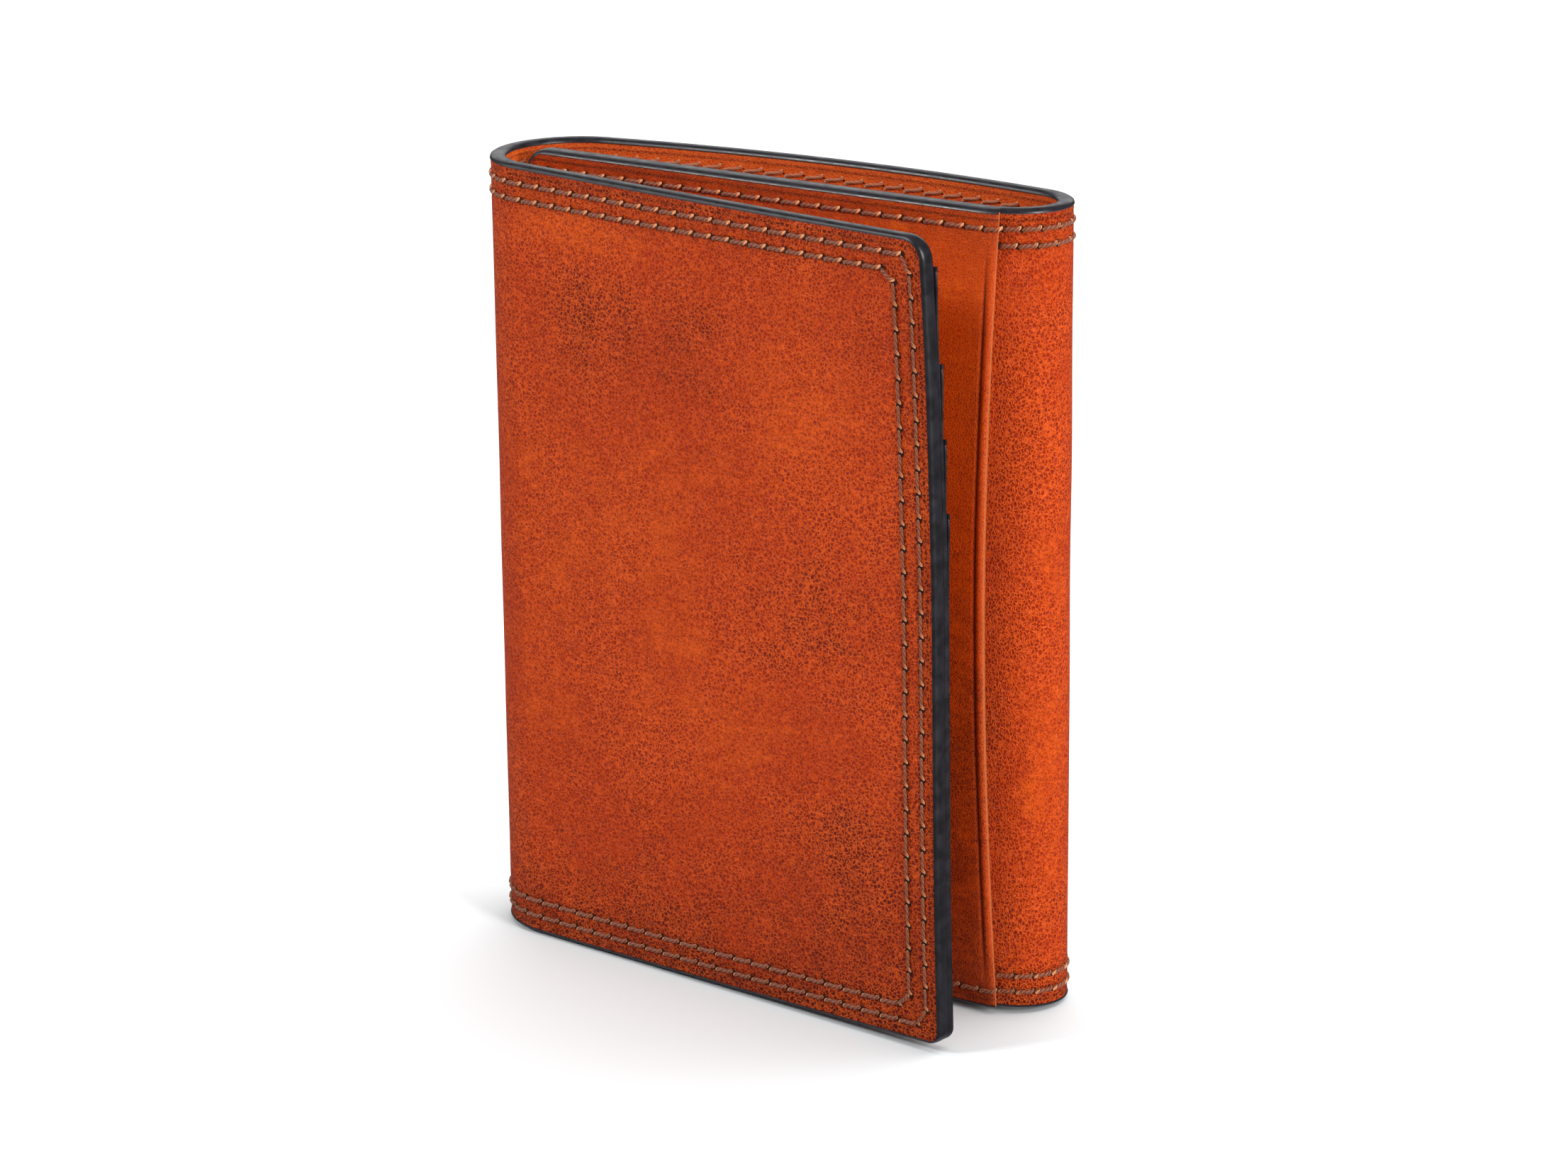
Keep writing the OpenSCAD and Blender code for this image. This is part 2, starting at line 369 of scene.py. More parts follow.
def make_object(name, verts, faces, materials, hide, edge, face_mats=None, sharp=40):
    """A smooth-shaded object, creased where faces meet at more than sharp degrees."""
    mesh = bpy.data.meshes.new(name)
    mesh.from_pydata(verts.tolist(), [], faces)
    layer = mesh.attributes.new("hide", "FLOAT_VECTOR", "POINT")
    layer.data.foreach_set("vector", np.asarray(hide, np.float32).ravel())
    set_layer(mesh, "edge", edge)
    for m in materials:
        mesh.materials.append(m)
    if face_mats is not None:
        mesh.polygons.foreach_set("material_index", np.asarray(face_mats, np.int32))
    mesh.polygons.foreach_set("use_smooth", np.ones(len(mesh.polygons), bool))
    mesh.update()
    mesh.set_sharp_from_angle(angle=math.radians(sharp))
    obj = bpy.data.objects.new(name, mesh)
    bpy.context.scene.collection.objects.link(obj)
    return obj


def ring_faces(rings, sides):
    """Wall faces of a tube of rings with this many sides, as lists."""
    i, j = np.meshgrid(np.arange(rings - 1), np.arange(sides), indexing="ij")
    a, b = (i * sides + j).ravel(), (i * sides + (j + 1) % sides).ravel()
    return np.stack([a, b, b + sides, a + sides], -1).tolist()


def grid_faces(n, m, offset, flip):
    i, j = np.meshgrid(np.arange(n - 1), np.arange(m - 1), indexing="ij")
    a = (i * m + j).ravel() + offset
    quad = np.stack([a, a + 1, a + m + 1, a + m], -1)
    return quad[:, ::-1] if flip else quad


def slab(name, s_grid, z_grid, outer, inner, material, layer):
    """A closed leaf: an outer and an inner grid, and walls all round.
    outer and inner are depths on the grid."""
    n, m = s_grid.shape
    top = place(s_grid, z_grid, outer).reshape(-1, 3)
    low = place(s_grid, z_grid, inner).reshape(-1, 3)
    verts = np.concatenate([top, low])
    k = n * m
    idx = np.arange(k).reshape(n, m)
    walls = []
    for line, flip in ((idx[0, :], False), (idx[-1, :], True),
                       (idx[:, -1], False), (idx[:, 0], True)):
        a, b = line[:-1], line[1:]
        quad = np.stack([b, a, a + k, b + k], -1)
        walls.append(quad[:, ::-1] if flip else quad)
    faces = np.concatenate([grid_faces(n, m, 0, False), grid_faces(n, m, k, True)] + walls)
    hide = np.stack([s_grid, z_grid, np.full_like(s_grid, layer)], -1).reshape(-1, 3)
    edge = edge_distance(s_grid, z_grid).ravel()
    obj = make_object(name, verts, faces.tolist(), [material],
                      np.concatenate([hide, hide + [0, 0, 1]]), np.concatenate([edge, edge]))
    set_layer(obj.data, "dye_and_painted_light", np.tile(dye_and_painted_light(s_grid, z_grid).ravel(), 2))
    return obj


def even_lines(lo, hi, step):
    return np.linspace(lo, hi, max(2, int(math.ceil((hi - lo) / step)) + 1))


SEAM_LINE = 0.03    # an extra line this far from a cut keeps the shading true across it


def s_lines(lo, hi, step):
    """Grid lines along s, closer together where a corner is rounded."""
    lines = list(even_lines(lo, hi, step))
    for cut, sign in ((lo, 1), (hi, -1)):
        free = cut in (FRONT_END, INNER_END)
        extra = [TOP_CORNER * (1 - math.cos(math.radians(t)))
                 for t in (8, 16, 24, 33, 42, 52, 63, 75)]
        lines += [cut + sign * e for e in (extra if free else [SEAM_LINE])]
    return np.array(sorted(set(np.round(lines, 4))))


def z_lines_dense(step):
    return even_lines(0, 1, step / HEIGHT)


def z_lines_edges(step, middle_step):
    """Fractions of the height: close together by the stitched edges, wider between."""
    band = 7.2
    low = even_lines(0, band, step)
    mid = even_lines(band, HEIGHT - band, middle_step)[1:-1]
    return np.concatenate([low, mid, HEIGHT - low[::-1]]) / HEIGHT


def leaf_grid(s, fractions, span):
    """s and z of a grid whose columns reach from the lowest to the highest z of span."""
    lo, hi = span
    s_grid = np.repeat(s[:, None], len(fractions), 1)
    z_grid = lo[:, None] + (hi - lo)[:, None] * fractions[None]
    return s_grid, z_grid


# ---------------------------------------------------------------- materials

def srgb(r, g, b):
    def lin(c):
        c /= 255
        return c / 12.92 if c <= 0.04045 else ((c + 0.055) / 1.055) ** 2.4
    return (lin(r), lin(g), lin(b), 1)


class Nodes:
    """A short way to write a material's node tree."""

    def __init__(self, name):
        self.mat = bpy.data.materials.new(name)
        self.mat.use_nodes = True
        self.tree = self.mat.node_tree
        self.tree.nodes.clear()
        self.out = self.add("ShaderNodeOutputMaterial")
        self.shader = self.add("ShaderNodeBsdfPrincipled")
        self.link(self.shader.outputs[0], self.out.inputs["Surface"])

    def add(self, kind, **props):
        node = self.tree.nodes.new(kind)
        for key, value in props.items():
            setattr(node, key, value)
        return node

    def link(self, a, b):
        self.tree.links.new(a, b)

    def set(self, **values):
        for key, value in values.items():
            self.shader.inputs[key.replace("_", " ")].default_value = value

    def attribute(self, name):
        return self.add("ShaderNodeAttribute", attribute_name=name)

    def math(self, operation, a, b=None, clamp=False):
        node = self.add("ShaderNodeMath", operation=operation, use_clamp=clamp)
        for socket, value in zip(node.inputs, (a, b)):
            if value is None:
                continue
            if isinstance(value, (int, float)):
                socket.default_value = value
            else:
                self.link(value, socket)
        return node.outputs[0]

    def noise(self, vector, scale, detail=4, rough=0.55):
        node = self.add("ShaderNodeTexNoise")
        node.inputs["Scale"].default_value = scale
        node.inputs["Detail"].default_value = detail
        node.inputs["Roughness"].default_value = rough
        self.link(vector, node.inputs["Vector"])
        return node.outputs["Fac"]

    def cells(self, vector, scale):
        """Distance from the edge of the cell that a point is in."""
        node = self.add("ShaderNodeTexVoronoi", feature="DISTANCE_TO_EDGE")
        node.inputs["Scale"].default_value = scale
        self.link(vector, node.inputs["Vector"])
        return node.outputs["Distance"]

    def ramp(self, factor, stops):
        node = self.add("ShaderNodeValToRGB")
        node.color_ramp.interpolation = "EASE"
        while len(node.color_ramp.elements) < len(stops):
            node.color_ramp.elements.new(0.5)
        for element, (at, colour) in zip(node.color_ramp.elements, stops):
            element.position = at
            element.color = colour
        self.link(factor, node.inputs["Fac"])
        return node.outputs["Color"]

    def mix(self, factor, a, b):
        node = self.add("ShaderNodeMix", data_type="RGBA", blend_type="MIX")
        for key, value in (("Factor", factor), ("A", a), ("B", b)):
            socket = node.inputs[key]
            if isinstance(value, (int, float, tuple)):
                socket.default_value = value
            else:
                self.link(value, socket)
        return [o for o in node.outputs if o.type == "RGBA"][0]

    def range(self, value, a, b, c, d):
        """The value eased from c, at a, to d, at b."""
        node = self.add("ShaderNodeMapRange", interpolation_type="SMOOTHSTEP")
        for i, v in enumerate((a, b, c, d)):
            node.inputs[i + 1].default_value = v
        self.link(value, node.inputs[0])
        return node.outputs[0]

    def bump(self, height, strength, distance, under=None):
        node = self.add("ShaderNodeBump")
        node.inputs["Strength"].default_value = strength
        node.inputs["Distance"].default_value = distance
        self.link(height, node.inputs["Height"])
        if under is not None:
            self.link(under, node.inputs["Normal"])
        return node.outputs["Normal"]

    def stretch(self, vector, angle, along, across):
        """The vector turned about the hide's normal, then scaled differently both ways."""
        node = self.add("ShaderNodeMapping")
        node.inputs["Rotation"].default_value = (0, 0, math.radians(angle))
        node.inputs["Scale"].default_value = (along, across, 1)
        self.link(vector, node.inputs["Vector"])
        return node.outputs[0]

    def warp(self, vector, scale, amount):
        """The vector, pushed about by noise."""
        noise = self.add("ShaderNodeTexNoise")
        noise.inputs["Scale"].default_value = scale
        noise.inputs["Detail"].default_value = 2
        self.link(vector, noise.inputs["Vector"])
        centred = self.add("ShaderNodeVectorMath", operation="SUBTRACT")
        self.link(noise.outputs["Color"], centred.inputs[0])
        centred.inputs[1].default_value = (0.5, 0.5, 0.5)
        scaled = self.add("ShaderNodeVectorMath", operation="SCALE")
        self.link(centred.outputs[0], scaled.inputs[0])
        scaled.inputs["Scale"].default_value = amount
        total = self.add("ShaderNodeVectorMath", operation="ADD")
        self.link(vector, total.inputs[0])
        self.link(scaled.outputs[0], total.inputs[1])
        return total.outputs[0]


def leather(name, dark, mid, light, grain, rough, edge_dark, relief=1.0, mouth=False, shaded_rows=()):
    """Aniline leather in hide millimetres: mottled dye with the painted light and shade laid on it,
    burnished edges and a fine net of grain whose darkened pits and paled ridges are partly painted
    shade and a painted glint. grain is the size of the net's cells, relief how strong the grain is
    in colour and bump, mouth adds the overlay's open edge, and the stitch rows passed in are lines
    along which painted shade darkens the hide."""
    n = Nodes(name)
    hide = n.attribute("hide").outputs["Vector"]
    edge = n.attribute("edge").outputs["Fac"]
    deep = tuple(0.35 * c for c in dark[:3]) + (1,)
    ridge_tint_and_glint = tuple(min(1.0, 1.3 * c + a) for c, a in zip(light, (0.06, 0.03, 0.008))) + (1,)
    clouds = n.noise(n.warp(hide, 0.04, 10), 0.045, 5, 0.62)
    patches = n.noise(hide, 0.2, 5, 0.7)
    spots = n.noise(hide, 1.3, 3, 0.65)
    streaks = n.noise(n.stretch(n.warp(hide, 0.06, 6), 55, 0.22, 1.1), 1.0, 4, 0.6)
    tone = n.math("ADD", n.math("MULTIPLY", clouds, 0.36), n.math("MULTIPLY", patches, 0.3))
    tone = n.math("ADD", tone, n.math("MULTIPLY", spots, 0.16))
    tone = n.math("ADD", tone, n.math("MULTIPLY", streaks, 0.18))
    # the hide's layer of dye clouds, painted light and painted shade
    tone = n.math("ADD", tone, n.attribute("dye_and_painted_light").outputs["Fac"])
    colour = n.ramp(tone, [(0.3, dark), (0.5, mid), (0.68, light)])
    burnish = n.math("MULTIPLY", n.range(edge, 0.0, 8.0, 1.0, 0.0), edge_dark)
    burnish = n.math("MULTIPLY", burnish, n.range(patches, 0.3, 0.7, 1.3, 0.5), clamp=True)
    colour = n.mix(burnish, colour, tuple(0.55 * c for c in dark[:3]) + (1,))
    line = n.math("ABSOLUTE", n.math("SUBTRACT", edge, CREASE_IN))
    colour = n.mix(n.range(line, 0.05, 0.32, 0.75, 0.0), colour, deep)
    # painted shade: the hide darkens along each stitch row
    for row in shaded_rows:
        line = n.math("ABSOLUTE", n.math("SUBTRACT", edge, row))
        colour = n.mix(n.range(line, 0.2, 0.65, 0.5, 0.0), colour, deep)
    # grain: a net of fine raised ridges with pits between, broken up by pores
    net = n.range(n.cells(n.warp(hide, 1.3, 0.45), 1 / grain), 0.0, 0.3, 1.0, 0.0)
    fine = n.range(n.cells(n.warp(hide, 2.4, 0.4), 1.7 / grain), 0.0, 0.25, 1.0, 0.0)
    pores = n.noise(hide, 1.9 / grain, 3, 0.65)
    height = n.math("ADD", n.math("MULTIPLY", net, 0.5), n.math("MULTIPLY", fine, 0.3))
    height = n.math("ADD", height, n.math("MULTIPLY", pores, 0.6))
    strong = n.range(clouds, 0.38, 0.6, 1.0, 0.6)
    low = n.math("MULTIPLY", n.range(height, 0.34, 0.6, 1.0, 0.0), strong)
    high = n.math("MULTIPLY", n.range(height, 0.6, 1.0, 0.0, 1.0), strong)
    # painted shade and glint: the pits are darkened and the ridges paled, partly the grain's own colour
    # and partly shade in the pits and glints on the ridges
    colour = n.mix(n.math("MULTIPLY", low, 0.52 * relief), colour, deep)
    colour = n.mix(n.math("MULTIPLY", high, 0.62 * relief), colour, ridge_tint_and_glint)
    if mouth:
        gap = n.attribute("mouth").outputs["Fac"]
        groove = n.math("ABSOLUTE", n.math("SUBTRACT", gap, GROOVE))
        groove = n.range(groove, 0.05, 0.4, 0.75, 0.0)
        groove = n.math("MULTIPLY", groove, n.attribute("groove").outputs["Fac"])
        colour = n.mix(groove, colour, deep)
        colour = n.mix(n.range(gap, 0.03, 0.1, 0.7, 0.0), colour, srgb(196, 116, 62))
    n.link(colour, n.shader.inputs["Base Color"])
    gloss = n.math("ADD", n.math("MULTIPLY", spots, 0.14), rough - 0.07)
    n.link(n.math("ADD", gloss, n.math("MULTIPLY", low, 0.2)), n.shader.inputs["Roughness"])
    waves = n.bump(n.noise(hide, 0.22, 3, 0.5), 0.3, 0.3 * MM)
    wrinkles = n.bump(streaks, 0.6, 0.35 * relief * MM, waves)
    n.link(n.bump(height, 1.0, 0.2 * relief * MM, wrinkles), n.shader.inputs["Normal"])
    n.set(Specular_IOR_Level=0.2, IOR=1.5)
    return n.mat


def edge_paint():
    """Dark, glossy, slightly uneven edge paint, with a painted reflection of the floor: paler where it
    faces down.
    """
    n = Nodes("edge_paint")
    hide = n.attribute("hide").outputs["Vector"]
    uneven = n.noise(hide, 0.5, 4, 0.6)
    colour = n.ramp(uneven, [(0.3, srgb(20, 19, 23)), (0.7, srgb(33, 31, 37))])
    facing = n.add("ShaderNodeSeparateXYZ")
    n.link(n.add("ShaderNodeNewGeometry").outputs["Normal"], facing.inputs[0])
    # painted reflection of the floor: faces turned down are paler
    colour = n.mix(n.range(facing.outputs["Z"], -0.9, -0.2, 1.0, 0.0), colour, srgb(84, 82, 93))
    n.link(colour, n.shader.inputs["Base Color"])
    n.link(n.range(uneven, 0.3, 0.7, 0.3, 0.44), n.shader.inputs["Roughness"])
    slow = n.bump(uneven, 0.15, 0.12 * MM)
    n.link(n.bump(n.noise(hide, 5, 3, 0.6), 0.2, 0.02 * MM, slow), n.shader.inputs["Normal"])
    n.set(Specular_IOR_Level=0.5)
    return n.mat


def thread_material(name, dark, light):
    """Waxed twisted thread, with painted shade between its plies and along a stitch's body and a
    painted highlight at its ends.
    """
    n = Nodes(name)
    hide = n.attribute("hide").outputs["Vector"]
    edge = n.attribute("edge").outputs["Fac"]
    fuzz = n.noise(hide, 7, 4, 0.7)
    # the edge layer holds each stitch's painted shade and painted highlight
    tone = n.math("ADD", n.math("MULTIPLY", edge, 0.65), n.math("MULTIPLY", fuzz, 0.35))
    n.link(n.ramp(tone, [(0.25, dark), (0.8, light)]), n.shader.inputs["Base Color"])
    n.link(n.bump(fuzz, 0.6, 0.06 * MM), n.shader.inputs["Normal"])
    n.set(Roughness=0.55, Specular_IOR_Level=0.4, Sheen_Weight=0.15)
    return n.mat


def hole_material():
    """The dark of a needle hole: painted shade."""
    n = Nodes("needle_hole")
    hide = n.attribute("hide").outputs["Vector"]
    colour = n.ramp(n.noise(hide, 4), [(0.3, srgb(34, 10, 5)), (0.7, srgb(62, 22, 10))])
    n.link(colour, n.shader.inputs["Base Color"])
    n.set(Roughness=0.8, Specular_IOR_Level=0.2)
    return n.mat


ROWS = (ROW_1, ROW_2)
COVER = leather("cover_leather", srgb(110, 18, 2), srgb(164, 41, 2), srgb(204, 74, 6),
                grain=0.56, rough=0.27, edge_dark=0.45, shaded_rows=ROWS)
LINING = leather("lining_leather", srgb(184, 58, 10), srgb(214, 86, 22), srgb(230, 106, 36),
                 grain=0.5, rough=0.5, edge_dark=0.3, relief=0.5)
OVERLAY = leather("overlay_leather", srgb(118, 26, 2), srgb(180, 58, 3), srgb(214, 90, 10),
                  grain=0.4, rough=0.38, edge_dark=0.4, relief=0.4, mouth=True)
PANEL = leather("panel_leather", srgb(150, 40, 10), srgb(188, 64, 20), srgb(206, 84, 30),
                grain=0.5, rough=0.5, edge_dark=0.35, relief=0.6)
PAINT = edge_paint()
THREAD = thread_material("thread", srgb(104, 44, 20), srgb(236, 154, 100))
THREAD_IN = thread_material("thread_inside", srgb(150, 82, 48), srgb(226, 166, 124))
HOLE = hole_material()

# ---------------------------------------------------------------- cover and lining

GRID = PITCH / 8
BEAD_IN = 0.25      # leather stops this far inside the outline, under the edge paint


def build_cover():
    for seg in SEGMENTS:
        s = s_lines(seg["lo"], seg["hi"], GRID)
        s = np.unique(np.clip(s, FRONT_END + BEAD_IN, INNER_END - BEAD_IN))
        fractions = z_lines_dense(GRID) if seg["name"] == "front" else z_lines_edges(GRID, 2.4)
        s_grid, z_grid = leaf_grid(s, fractions, z_span(s, BEAD_IN))
        outer = cover_relief(s_grid, z_grid)
        piece = slab(f"cover_{seg['name']}", s_grid, z_grid, outer,
                     np.full_like(outer, COVER_T), COVER, 0)
        bend(piece)
        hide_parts(*covers_nodes(seg, "cover"))


def build_lining():
    for seg in SEGMENTS:
        s = s_lines(seg["lo"], seg["hi"], GRID * 2)
        s = np.unique(np.clip(s, FRONT_END + BEAD_IN, INNER_END - BEAD_IN))
        fractions = z_lines_edges(GRID * 2, 3.6)
        s_grid, z_grid = leaf_grid(s, fractions, z_span(s, BEAD_IN))
        edge = edge_distance(s_grid, z_grid)
        roll = 0.2 * np.clip(1 - edge / 0.9, 0, 1) ** 2 + 0.6 * stitch_dent(s_grid, z_grid)
        piece = slab(f"lining_{seg['name']}", s_grid, z_grid, np.full_like(edge, COVER_T),
                     BODY_T - roll, LINING, 40)
        bend(piece)
        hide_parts(*covers_nodes(seg, "lining"))


# ---------------------------------------------------------------- edge paint

BEAD_OVER = 0.1     # the paint laps this far onto the leather's faces
BEAD_STEPS = 9
BEAD_BULGE, LOW_BULGE, LEAF_BULGE = 0.42, 0.12, 0.3     # how far the paint stands out


def bead(path, outward, d0, d1, bulge=BEAD_BULGE, tuck=0.7):
    """A half-round bead of paint along a cut edge, thinner where it faces down. path and
    outward are (s, z) rows, d0 and d1 the depths of the faces it covers."""
    count = len(path)
    d0 = np.broadcast_to(np.asarray(d0, float), (count,)) - BEAD_OVER
    d1 = np.broadcast_to(np.asarray(d1, float), (count,)) + BEAD_OVER
    t = np.linspace(0, math.pi, BEAD_STEPS)
    bulge = bulge - (bulge - LOW_BULGE) * np.clip(-outward[:, 1:], 0, 1)
    push = -BEAD_IN * 1.6 + (bulge + BEAD_IN * 0.6) * np.sin(t) ** 0.62
    push = np.concatenate([push, np.full((count, 2), -tuck)], 1)
    across = np.concatenate([(1 - np.cos(t)) / 2, [0.85, 0.15]])
    s = path[:, :1] + outward[:, :1] * push
    z = path[:, 1:] + outward[:, 1:] * push
    depth = d0[:, None] + (d1 - d0)[:, None] * across[None]
    verts = place(s, z, depth).reshape(-1, 3)
    m = push.shape[1]
    faces = ring_faces(count, m)
    faces += [list(range(m))[::-1], [(count - 1) * m + k for k in range(m)]]
    hide = np.stack([s, z, depth + 80], -1).reshape(-1, 3)
    return verts, faces, hide


def join_parts(name, parts, materials, sharp=50, mats=None):
    """Several (verts, faces, hide[, edge]) made into one object."""
    verts, faces, hides, edges, index, base = [], [], [], [], [], 0
    for k, part in enumerate(parts):
        verts.append(part[0])
        faces += [[v + base for v in f] for f in part[1]]
        hides.append(part[2])
        edges.append(part[3] if len(part) > 3 else np.zeros(len(part[0])))
        index += [0 if mats is None else mats[k]] * len(part[1])
        base += len(part[0])
    obj = make_object(name, np.concatenate(verts), faces, materials, np.concatenate(hides),
                      np.concatenate(edges), index, sharp)
    fix_winding(obj)
    return obj


def fix_winding(obj):
    """Turn every face of closed meshes to look outwards."""
    bm = bmesh.new()
    bm.from_mesh(obj.data)
    bmesh.ops.recalc_face_normals(bm, faces=bm.faces)
    bm.to_mesh(obj.data)
    bm.free()


def straight_edge(lo, hi, z, up):
    """A cut edge along the top or the bottom, and its way out."""
    s = s_lines(lo, hi, 0.5)
    path = np.stack([s, np.full_like(s, z)], -1)
    return path, np.stack([np.zeros_like(s), np.full_like(s, up)], -1)


def free_end_edge(lo, hi, end, side):
    """The cut edge from a fold's cut, along the top, down the free end and back."""
    near = hi if side < 0 else lo
    top_s = even_lines(0, abs(end - near) - TOP_CORNER, 0.6)
    low_s = even_lines(0, abs(end - near) - LOW_CORNER, 0.6)[::-1]
    if side > 0:
        step = float(overlay_edge(HEIGHT)) - near + np.array([-0.02, 0.05, 0.15, 0.25])
        top_s = np.unique(np.concatenate([top_s, step]))
        low_s = np.unique(np.concatenate([low_s, step]))[::-1]
    pts = [np.stack([near + side * top_s, np.full_like(top_s, HEIGHT)], -1)]
    outs = [np.tile([0.0, 1.0], (len(top_s), 1))]
    for r, z0, first in ((TOP_CORNER, HEIGHT - TOP_CORNER, 90), (LOW_CORNER, LOW_CORNER, 0)):
        t = np.radians(np.linspace(first, first - 90, CORNER_STEPS))[1:-1]
        out = np.stack([side * np.cos(t), np.sin(t)], -1)
        if r == LOW_CORNER:
            z_run = even_lines(LOW_CORNER, HEIGHT - TOP_CORNER, 0.8)[::-1]
            pts.append(np.stack([np.full_like(z_run, end), z_run], -1))
            outs.append(np.tile([float(side), 0.0], (len(z_run), 1)))
        pts.append(np.array([end - side * r, z0]) + r * out)
        outs.append(out)
    pts.append(np.stack([near + side * low_s, np.zeros_like(low_s)], -1))
    outs.append(np.tile([0.0, -1.0], (len(low_s), 1)))
    return np.concatenate(pts), np.concatenate(outs)


def build_edges():
    for seg in SEGMENTS:
        if seg["name"] in ("front", "inner"):
            side = -1 if seg["name"] == "front" else 1
            end = FRONT_END if side < 0 else INNER_END
            path, out = free_end_edge(seg["lo"], seg["hi"], end, side)
            d0 = 0.0
            if side > 0:
                lap = path[:, 0] - overlay_edge(path[:, 1])
                d0 = -OVERLAY_T * np.clip(lap / 0.25, 0, 1)
            parts = [bead(path, out, d0, BODY_T)]
        else:
            parts = [bead(*straight_edge(seg["lo"], seg["hi"], z, up), 0.0, BODY_T)
                     for z, up in ((HEIGHT, 1.0), (0.0, -1.0))]
        piece = join_parts(f"edge_{seg['name']}", parts, [PAINT])
        bend(piece)


# ---------------------------------------------------------------- card panels and slots

def flare(z, top, gap):
    """How far a leaf's free corner curls into the wallet below its mouth."""
    return 0.55 * np.clip(1 - (top - z) / 11, 0, 1) ** 1.5 * np.exp(-gap / 9.0)


def leaf_fractions(step):
    """Fractions of a leaf's height, closer together by its mouth."""
    return np.concatenate([even_lines(0, 0.9, step), [0.93, 0.96, 0.985, 1]])


def mouth_relief(z, top):
    """Depths of a leaf's rolled mouth and of the creased line below it."""
    rim = 0.08 * np.clip(1 - (top - z) / 0.5, 0, 1) ** 2
    crease = 0.07 * np.exp(-((top - z - 1.8) / 0.2) ** 2)
    return rim, crease


MOUTH_IN = 0.12     # a leaf's leather stops this far below its painted mouth


def leaf_piece(name, node, body, s_fold, end, side, top, d0, layer):
    """One card panel or slot leaf on a flap, with painted mouth and free edge."""
    near = s_fold + side * LEAF_CLEAR
    inset = BEAD_IN + 0.05
    corner = LOW_CORNER * (1 - np.cos(np.radians([20, 35, 50, 65])))
    s = np.sort(np.concatenate([np.linspace(near, end - side * inset, 48),
                                end - side * (inset + corner)]))
    gap = np.abs(end - s)
    lo = BEAD_IN + corner_cut(gap, LOW_CORNER)
    hi = np.full_like(s, top - MOUTH_IN)
    s_grid, z_grid = leaf_grid(s, leaf_fractions(0.03), (lo, hi))
    gap = np.abs(end - s_grid)
    curl = flare(z_grid, top, gap)
    rim, crease = mouth_relief(z_grid, top)
    piece = slab(name, s_grid, z_grid, d0 + curl, d0 + LEAF_T + curl - rim - crease, PANEL, layer)
    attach(piece, body)
    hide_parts(node)
    path, out = free_end_edge(near, near, end, side)
    low = path[:, 1] < top - 0.5
    path, out = path[low], out[low]
    path = np.concatenate([[[end, top - 0.1]], path])
    out = np.concatenate([out[:1], out])
    curl = flare(path[:, 1], top, np.abs(end - path[:, 0]))
    path[:, 0] -= side * 0.4 * np.exp(-(top - path[:, 1]) / 0.5)
    parts = [bead(path, out, d0 + curl, d0 + LEAF_T + curl, LEAF_BULGE)]
    s_run = np.linspace(near, end - side * 0.1, 40)
    path = np.stack([s_run, np.full_like(s_run, top)], -1)
    out = np.tile([0.0, 1.0], (len(s_run), 1))
    curl = flare(np.full_like(s_run, top), top, np.abs(end - s_run))
    parts.append(bead(path, out, d0 + curl, d0 + LEAF_T + curl, LEAF_BULGE))
    trim = join_parts(f"{name}_edge", parts, [PAINT])
    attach(trim, body)


def back_leaf(name, node, top, d0, layer):
    """One card panel or slot leaf on the back panel, with a painted mouth."""
    s = np.linspace(-HALF + LEAF_CLEAR, HALF - LEAF_CLEAR, 70)
    lo, hi = np.full_like(s, BEAD_IN), np.full_like(s, top - MOUTH_IN)
    s_grid, z_grid = leaf_grid(s, leaf_fractions(0.05), (lo, hi))
    rim, crease = mouth_relief(z_grid, top)
    piece = slab(name, s_grid, z_grid, np.full_like(s_grid, d0),
                 d0 + LEAF_T - rim - crease, PANEL, layer)
    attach(piece, "back")
    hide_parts(node)
    path = np.stack([s, np.full_like(s, top)], -1)
    out = np.tile([0.0, 1.0], (len(s), 1))
    trim = join_parts(f"{name}_edge", [bead(path, out, d0, d0 + LEAF_T, LEAF_BULGE)], [PAINT])
    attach(trim, "back")


def build_leaves():
    for i, drop in enumerate(LEAF_DROPS):
        name = "panel" if i == 0 else f"slot_{i}"
        d0 = BODY_T + i * LEAF_T
        leaf_piece(f"front_card_{name}", f"front_{name}", "front_flap", FRONT_FOLD, FRONT_END, -1,
                   HEIGHT - drop, d0, 100 + 10 * i)
        back_leaf(f"back_card_{name}", f"back_{name}", HEIGHT - drop, d0, 200 + 10 * i)
        if i < INNER_LEAVES:
            leaf_piece(f"inner_card_{name}", f"inner_{name}", "inner_flap", INNER_FOLD, INNER_END, 1,
                       HEIGHT - drop, d0, 300 + 10 * i)


# ---------------------------------------------------------------- overlay pocket

